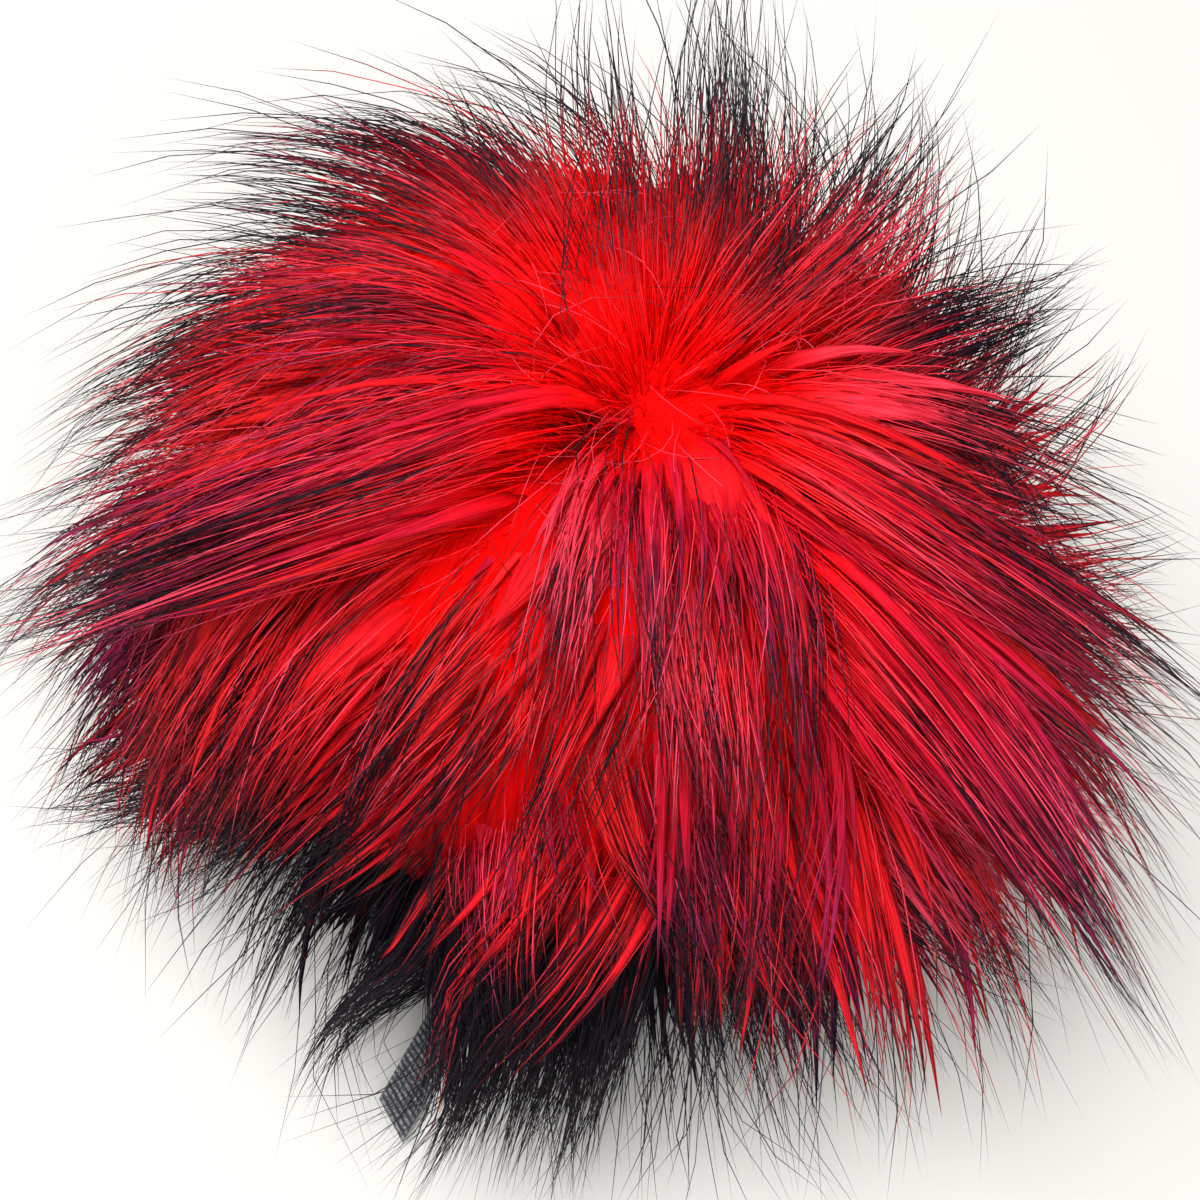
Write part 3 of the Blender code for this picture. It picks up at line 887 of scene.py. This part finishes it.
def dyed_hair(name, streaks=0):
    """Red hair dyed black at the tip; the column of the map says how far down the black reaches.

    streaks is how many fine light lines run along a wide flame, as hairs would, with painted shade between.
    """
    material, tree, shader = new_material(name)
    place, across, up = own_map(tree)
    root, tip = stepped_ramp(tree, REDS), stepped_ramp(tree, RED_TIPS)
    tree.links.new(across, root.inputs[0])
    tree.links.new(across, tip.inputs[0])
    tipwards = map_range(tree, up, *TIP_SHADE_FROM, 0, 1)
    own_red = mix_colour(tree, tipwards, root.outputs[0], tip.outputs[0])
    outwards = map_range(tree, up, *(FLAMES_OWN_RED if streaks else HAIRS_OWN_RED), 0, 1)
    red = mix_colour(tree, outwards, DENSE_RED, own_red)
    column = math_node(tree, "MULTIPLY", across, float(TINTS))
    dye = math_node(tree, "FRACT", column, 0.0)
    onset = map_range(tree, dye, 0, 1, *BLACK_STARTS)
    shader.inputs["Roughness"].default_value = 0.42
    shader.inputs["Specular IOR Level"].default_value = 0.16
    shader.inputs["Specular Tint"].default_value = (1.0, 0.90, 1.0, 1)
    if streaks:
        streak = streak_noise(tree, place, (DYES * TINTS * streaks, STREAKS_ALONG, 1), 2)
        uneven = map_range(tree, streak, 0.38, 0.62, -UNEVEN_START, UNEVEN_START)
        onset = math_node(tree, "ADD", onset, uneven)
        # Painted shade between the streaks: six tenths of it near the body, all of it further out.
        shade_strength = map_range(tree, up, 0.28, 0.46, 0.60, 1)
        shaded_gaps = map_range(tree, streak, 0.42, 0.56, 0.80, 0)
        red = mix_colour(tree, math_node(tree, "MULTIPLY", shade_strength, shaded_gaps), red, SHADE_BETWEEN_STRANDS)
        add_bump(tree, shader, streak, 0.6, 0.0005)
        shader.inputs["Roughness"].default_value = 0.75
        shader.inputs["Specular IOR Level"].default_value = 0.08
    past = math_node(tree, "SUBTRACT", up, onset)
    dark = map_range(tree, past, 0, BLACK_EASES_IN, 0, 1)
    tree.links.new(mix_colour(tree, dark, red, TIP_BLACK), shader.inputs["Base Color"])
    return material


hair_material = dyed_hair("dyed_hair")
for piece in [fuzz, underfur, *guard_hairs]:
    piece.data.materials.append(hair_material)
lock_flames.data.materials.append(dyed_hair("lock_red", 40))
wisp_flames.data.materials.append(dyed_hair("wisp_red", 16))
print("materials", sorted(material.name for material in bpy.data.materials))


# %% [markdown]
# A few hairs always lie across the rest. They break up the regular flow at the crown.

# %% Stray hairs
STRAYS = 140
STRAYS_WITHIN = 0.026
STRAY_LENGTHS = (0.010, 0.024)
STRAY_ARCH = (0.001, 0.004)
STRAY_THICKNESS = 0.00012
STRAYS_FROM = 0.079
STRAYS_FALL = 0.060
STRAY_TURNS = 0.35
STRAY_CURLS = 1.1
STRAY_BLACKEST = 0.9
STRAY_MAP = (0.45, 1.0)  # strays are drawn from the outer part of a hair's map only


def make_strays(name, seed):
    """Arches over the crown: start + heading * length * s, raised by arch * (4s(1 - s) + 0.5).

    They stand over a dome that falls away with the square of the distance from the parting.
    """
    own = np.random.default_rng(seed)
    s = np.linspace(0, 1, 8)[None]
    out = STRAYS_WITHIN * np.sqrt(own.random((STRAYS, 1)))
    round_axis, heading = own.uniform(0, 2 * math.pi, (2, STRAYS, 1))
    length = own.uniform(*STRAY_LENGTHS, (STRAYS, 1))
    heading = round_axis + (heading - math.pi) * STRAY_TURNS + own.normal(0, STRAY_CURLS, (STRAYS, 1)) * s
    x = PARTING[0] + out * np.cos(round_axis) + length * s * np.cos(heading)
    y = PARTING[1] + out * np.sin(round_axis) + length * s * np.sin(heading)
    fall = (np.hypot(x - PARTING[0], y - PARTING[1]) / STRAYS_FALL) ** 2 * STRAYS_FALL / 2
    z = STRAYS_FROM - fall + own.uniform(*STRAY_ARCH, (STRAYS, 1)) * (4 * s * (1 - s) + 0.5)
    lines = np.stack([x, y, z], axis=-1)
    widths = STRAY_THICKNESS * (1 - TAPER * s**3) + 0 * length
    low, high = STRAY_MAP
    heights = (low + (high - low) * s) / LONGEST + 0 * length
    dye = own.uniform(0, STRAY_BLACKEST, STRAYS)
    tint = np.full(STRAYS, PINK_WITH_SHEEN)
    mesh = spike_mesh(name, lines, widths, dye, tint, heights, heading[:, 0], level_aside(lines))
    return add_fur(name, mesh)


strays = make_strays("stray_hair", 50)
strays.data.materials.append(hair_material)


# %% [markdown]
# Close to the ball the underfur is so dense that it reads as one soft red body, and drawing every
# hair of it would cost far too many faces. A closed surface through the ends of that dense part costs
# a few thousand, and a streaked, bumped colour that runs from crown to base does the rest.

# %% Underfur body
BODY_ROWS = 44
BODY_COLUMNS = 96
CROWN_STANDS = 0.0002  # how far the point at the crown stands over the first row


def make_body():
    """The drape formula at along = body_at, closed by one point at the crown and one underneath."""
    polar = np.linspace(0, BODY_LAST, BODY_ROWS + 2)[1:-1, None]
    azimuth = np.linspace(0, 2 * math.pi, BODY_COLUMNS, endpoint=False)[None]
    polar, azimuth = polar + 0 * azimuth, azimuth + 0 * polar
    grid = drape(azimuth.ravel(), polar.ravel(), body_at(azimuth, polar).reshape(-1, 1))[:, 0]
    poles = np.array([[0, 0, grid[:BODY_COLUMNS, 2].max() + CROWN_STANDS], [0, 0, 0.0]])
    points = np.concatenate([grid, poles])
    points[:, 2] = np.maximum(points[:, 2], LOWEST)
    row, column = np.meshgrid(np.arange(BODY_ROWS - 1), np.arange(BODY_COLUMNS), indexing="ij")
    after = (column + 1) % BODY_COLUMNS
    down = np.stack([row, row + 1, row + 1, row], axis=-1)
    quads = down * BODY_COLUMNS + np.stack([column, column, after, after], axis=-1)
    turn = np.arange(BODY_COLUMNS)
    onwards = (turn + 1) % BODY_COLUMNS
    last = (BODY_ROWS - 1) * BODY_COLUMNS
    top = np.stack([np.full(BODY_COLUMNS, len(grid)), turn, onwards], axis=-1)
    base = np.stack([np.full(BODY_COLUMNS, len(grid) + 1), last + onwards, last + turn], axis=-1)
    mesh = bpy.data.meshes.new("underfur_body")
    mesh.from_pydata(points.tolist(), [], quads.reshape(-1, 4).tolist() + top.tolist() + base.tolist())
    round_it = np.stack([column, column, column + 1, column + 1], axis=-1)
    top_u = np.stack([turn + 0.5, turn, turn + 1], axis=-1)
    base_u = np.stack([turn + 0.5, turn + 1, turn], axis=-1)
    u = np.concatenate([round_it.ravel(), top_u.ravel(), base_u.ravel()])
    ends = np.tile([0, 1, 1], BODY_COLUMNS)
    v = np.concatenate([down.ravel() + 1, ends, BODY_ROWS + 1 - ends])
    uv = np.stack([u / BODY_COLUMNS, v / (BODY_ROWS + 1)], axis=-1)
    mesh.uv_layers.new(name="OFBake").uv.foreach_set("vector", uv.astype(np.float32).ravel())
    mesh.shade_smooth()
    piece = add_fur("underfur_body", mesh)
    return piece


# %% [markdown]
# Seen between the hairs, the dense part is bright at the crown, where light reaches it, and painted
# deep red further down as the shade that falls between the hairs there. Fine streaks in colour and
# bump make it less like a smooth ball where it shows.

# %% The body's red
# The deep red of the sides is painted shade, where little light reaches between the hairs.
BODY_PAINTED_SHADE = (0.16, 0.000, 0.002)
STREAKS_ROUND = 260
STREAKS_DOWN = 9
PAINTED_SHADE_FROM = (0.16, 0.40)


def streaked_red(name):
    """Bright red at the crown, deep red painted shade down the sides, in streaks from crown to base."""
    material, tree, shader = new_material(name)
    place, _, up = own_map(tree)
    streak = streak_noise(tree, place, (STREAKS_ROUND, STREAKS_DOWN, 1), 3)
    # Painted shade: the red deepens from crown to base, more in some streaks than in others.
    painted_shade = map_range(tree, up, *PAINTED_SHADE_FROM, 0, 0.85)
    unsteady = map_range(tree, streak, 0.40, 0.68, -0.25, 0.40)
    deep = math_node(tree, "ADD", painted_shade, unsteady)
    clamp = map_range(tree, deep, 0, 1, 0, 1)
    tree.links.new(mix_colour(tree, clamp, DENSE_RED, BODY_PAINTED_SHADE), shader.inputs["Base Color"])
    add_bump(tree, shader, streak, 0.8, 0.0008)
    shader.inputs["Roughness"].default_value = 0.9
    shader.inputs["Specular IOR Level"].default_value = 0.05
    return material


body = make_body()
body.data.materials.append(streaked_red("underfur_red"))


# %% [markdown]
# A pom pom is tied on by a ribbon, and one cut end of it lies flat beside the pile. Grosgrain is woven
# with thick cross threads that stand up as ribs. They are in the mesh where the ribbon shows, about
# seven rows of points to a rib.

# %% The ribbon tie
RIBBON_WIDTH = 0.0064
RIBBON_THICKNESS = 0.0007
RIBBON_SLANT = 0.0034
RIB_PITCH = 0.00095
RIB_HEIGHT = 0.00020
RIBBON_SHOWS_FROM = 0.62
RIBBON_ROWS = (40, 230)
RIBBON_COLUMNS = 9
RIBS_WITHIN = 0.47  # of the width, either side of the middle
SELVEDGE_FROM = 0.40
SELVEDGE_HEIGHT = 0.00010
RIBBON_CLEAR = 0.0002  # how far the underside lies off the surface
END_LIFTS = 0.0012
END_CURVES = 8
END_TWISTS = 0.6


def make_ribbon():
    """A strip lying flat: along it s, across it w, and on its top side ribs of cos(2 pi s / pitch).

    Each selvedge is thicker by a narrow bead, and one is longer by the slant of the cut. The free
    end lifts with the END_CURVES-th power of the share of the way along, more at one selvedge.
    """
    length, along, across = ribbon_frame()
    hidden, shown = RIBBON_ROWS
    hidden_rows = np.linspace(0, RIBBON_SHOWS_FROM, hidden, endpoint=False)
    rows = np.concatenate([hidden_rows, np.linspace(RIBBON_SHOWS_FROM, 1, shown)])
    w = np.linspace(-0.5, 0.5, RIBBON_COLUMNS)
    w, top = np.concatenate([w, w[::-1]]), np.repeat([1, 0], RIBBON_COLUMNS)
    s = rows[:, None] * (length - RIBBON_SLANT * (0.5 - w))
    rib = RIB_HEIGHT * (0.5 + 0.5 * np.cos(2 * math.pi * s / RIB_PITCH)) * (np.abs(w) < RIBS_WITHIN)
    selvedge = SELVEDGE_HEIGHT * (np.abs(w) > SELVEDGE_FROM)
    lifted = END_LIFTS * rows[:, None] ** END_CURVES * (END_TWISTS + w)
    up = RIBBON_CLEAR + top * (RIBBON_THICKNESS + rib + selvedge) + lifted
    plan = RIBBON_START + s[..., None] * along + (w * RIBBON_WIDTH)[:, None] * across
    points = np.concatenate([plan, up[..., None]], axis=2)
    count, around = points.shape[:2]
    row, k = np.meshgrid(np.arange(count - 1), np.arange(around), indexing="ij")
    after = (k + 1) % around
    this, following = row * around, (row + 1) * around
    faces = np.stack([this + k, this + after, following + after, following + k], axis=-1).reshape(-1, 4)
    j = np.arange(RIBBON_COLUMNS - 1)
    cap = np.stack([j, around - 1 - j, around - 2 - j, j + 1], axis=-1)
    faces = np.concatenate([faces, cap, cap[:, ::-1] + (count - 1) * around])
    mesh = bpy.data.meshes.new("ribbon")
    mesh.from_pydata(points.reshape(-1, 3).tolist(), [], faces.tolist())
    mesh.validate()
    corner = np.empty(len(mesh.loops), np.int32)
    mesh.loops.foreach_get("vertex_index", corner)
    u = (np.arange(around)[None] / (around - 1) + 0 * rows[:, None]).reshape(-1)[corner]
    v = (rows[:, None] + 0 * w[None]).reshape(-1)[corner]
    uv = np.stack([u, v], axis=-1).astype(np.float32)
    mesh.uv_layers.new(name="OFBake").uv.foreach_set("vector", uv.ravel())
    piece = bpy.data.objects.new("ribbon", mesh)
    scene.collection.objects.link(piece)
    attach(piece, "root")
    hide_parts("ribbon_tie")
    print("ribbon", round(length * 1000, 1), "mm")
    return piece


# %% [markdown]
# Grosgrain looks grey where its ribs catch the light and nearly black in the shade between them, and
# both are painted: a cosine along the ribbon's map, with the ribs' own pitch, gives the colour its
# bands. The map ends on the slant of the cut, so the bands slant with it and meet the square ribs of
# the mesh only at the longer selvedge.

# %% Charcoal grosgrain
# The near black between the ribs is painted shade, and the grey of the lighter threads is painted sheen on
# the charcoal.
SHADE_BETWEEN_RIBS = (0.010, 0.010, 0.013)
DARK_THREAD = (0.045, 0.048, 0.056)
THREAD_SHEEN = (0.24, 0.25, 0.275)
FLECKS = 1900


def grosgrain(name):
    """Charcoal ribbed ribbon: bands of painted grey sheen, flecked thread to thread, and painted shade
    between.
    """
    material, tree, shader = new_material(name)
    place = tree.nodes.new("ShaderNodeTexCoord")
    fleck = tree.nodes.new("ShaderNodeTexNoise")
    fleck.inputs["Scale"].default_value = FLECKS
    fleck.inputs["Detail"].default_value = 2
    tree.links.new(place.outputs["Object"], fleck.inputs["Vector"])
    flecked_sheen = tree.nodes.new("ShaderNodeValToRGB")
    flecked_sheen.color_ramp.elements[0].position = 0.38
    flecked_sheen.color_ramp.elements[0].color = (*DARK_THREAD, 1)
    flecked_sheen.color_ramp.elements[1].position = 0.66
    flecked_sheen.color_ramp.elements[1].color = (*THREAD_SHEEN, 1)
    tree.links.new(fleck.outputs["Fac"], flecked_sheen.inputs[0])
    _, _, up = own_map(tree)
    turns = 2 * math.pi * ribbon_frame()[0] / RIB_PITCH
    wave = math_node(tree, "COSINE", math_node(tree, "MULTIPLY", up, float(turns)), 0.0)
    # Painted sheen on the ribs and painted shade between them.
    rib_lit = map_range(tree, wave, -0.7, 0.7, 0, 1)
    tree.links.new(mix_colour(tree, rib_lit, SHADE_BETWEEN_RIBS, flecked_sheen.outputs[0]), shader.inputs["Base Color"])
    shader.inputs["Roughness"].default_value = 0.55
    shader.inputs["Sheen Weight"].default_value = 0.25
    return material


ribbon = make_ribbon()
ribbon.data.materials.append(grosgrain("charcoal_grosgrain"))


# %% [markdown]
# A plain pale floor and two large soft lights: the stronger one, high on the left, models the locks,
# and the weaker one, in front on the right, lightens the black tips there.

# %% Floor and light
FLOOR_HALF = 3
FLOOR_Z = -0.0002
LIT_AT = Vector((0, 0, 0.03))
floor_mesh = bpy.data.meshes.new("floor")
corners = [(x * FLOOR_HALF, y * FLOOR_HALF, FLOOR_Z) for x, y in ((-1, -1), (1, -1), (1, 1), (-1, 1))]
floor_mesh.from_pydata(corners, [], [(0, 1, 2, 3)])
floor = bpy.data.objects.new("floor", floor_mesh)
scene.collection.objects.link(floor)
floor_material, _, floor_shader = new_material("pale_floor")
floor_shader.inputs["Base Color"].default_value = (0.50, 0.487, 0.465, 1)
floor_shader.inputs["Roughness"].default_value = 0.8
floor_mesh.materials.append(floor_material)


def area_light(name, place, size, power):
    """A square soft light that faces the pom pom."""
    data = bpy.data.lights.new(name, "AREA")
    data.size = size
    data.energy = power
    light = bpy.data.objects.new(name, data)
    light.location = place
    light.rotation_euler = (LIT_AT - light.location).to_track_quat("-Z", "Y").to_euler()
    scene.collection.objects.link(light)
    return light


area_light("key", Vector((-0.22, 0.12, 0.80)), 0.6, 12)
area_light("fill", Vector((0.35, -0.50, 0.65)), 0.8, 5)
world = bpy.data.worlds.new("world")
world.use_nodes = True
world.node_tree.nodes["Background"].inputs["Color"].default_value = (1, 1, 1, 1)
world.node_tree.nodes["Background"].inputs["Strength"].default_value = 0.36
scene.world = world
scene.view_settings.view_transform = "Standard"
scene.cycles.max_bounces = 3
scene.cycles.use_light_tree = False
